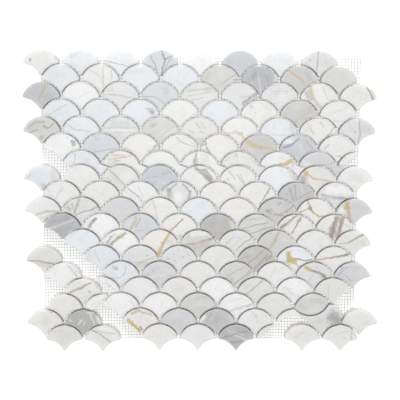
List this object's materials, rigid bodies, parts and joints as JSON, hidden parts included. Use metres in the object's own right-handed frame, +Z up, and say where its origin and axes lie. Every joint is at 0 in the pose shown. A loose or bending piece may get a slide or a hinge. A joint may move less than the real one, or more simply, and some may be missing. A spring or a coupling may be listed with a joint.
{
  "type": "fish scale mosaic tile sheet",
  "caption": "Sheet of white and grey marble fish scale chips on a fibreglass mesh, with a few chips missing or cut where sheets are joined.",
  "frame": {"origin": "centre of the sheet's outline, on the level surface under the mesh", "axes": "+X to the sheet's right, +Y to its top, towards which the round heads of the chips point, +Z up out of the stone's face"},
  "size_m": [0.3054, 0.259, 0.01],
  "materials": {
    "marble": "polished white marble with grey and gold veins",
    "fibreglass_mesh": "white coated open weave"
  },
  "bodies": {
    "root": {"top_row_chips": "marble", "upper_block_chips": "marble", "seam_row_chips": "marble", "lower_block_chips": "marble", "left_corner_chips": "marble", "right_corner_chips": "marble", "seam_offcut": "marble", "band_offcut": "marble", "left_corner_offcut": "marble", "bottom_offcut": "marble", "lens_chip": "marble", "wave_chip": "marble", "mesh_backing": "fibreglass_mesh"}
  },
  "joints": []
}
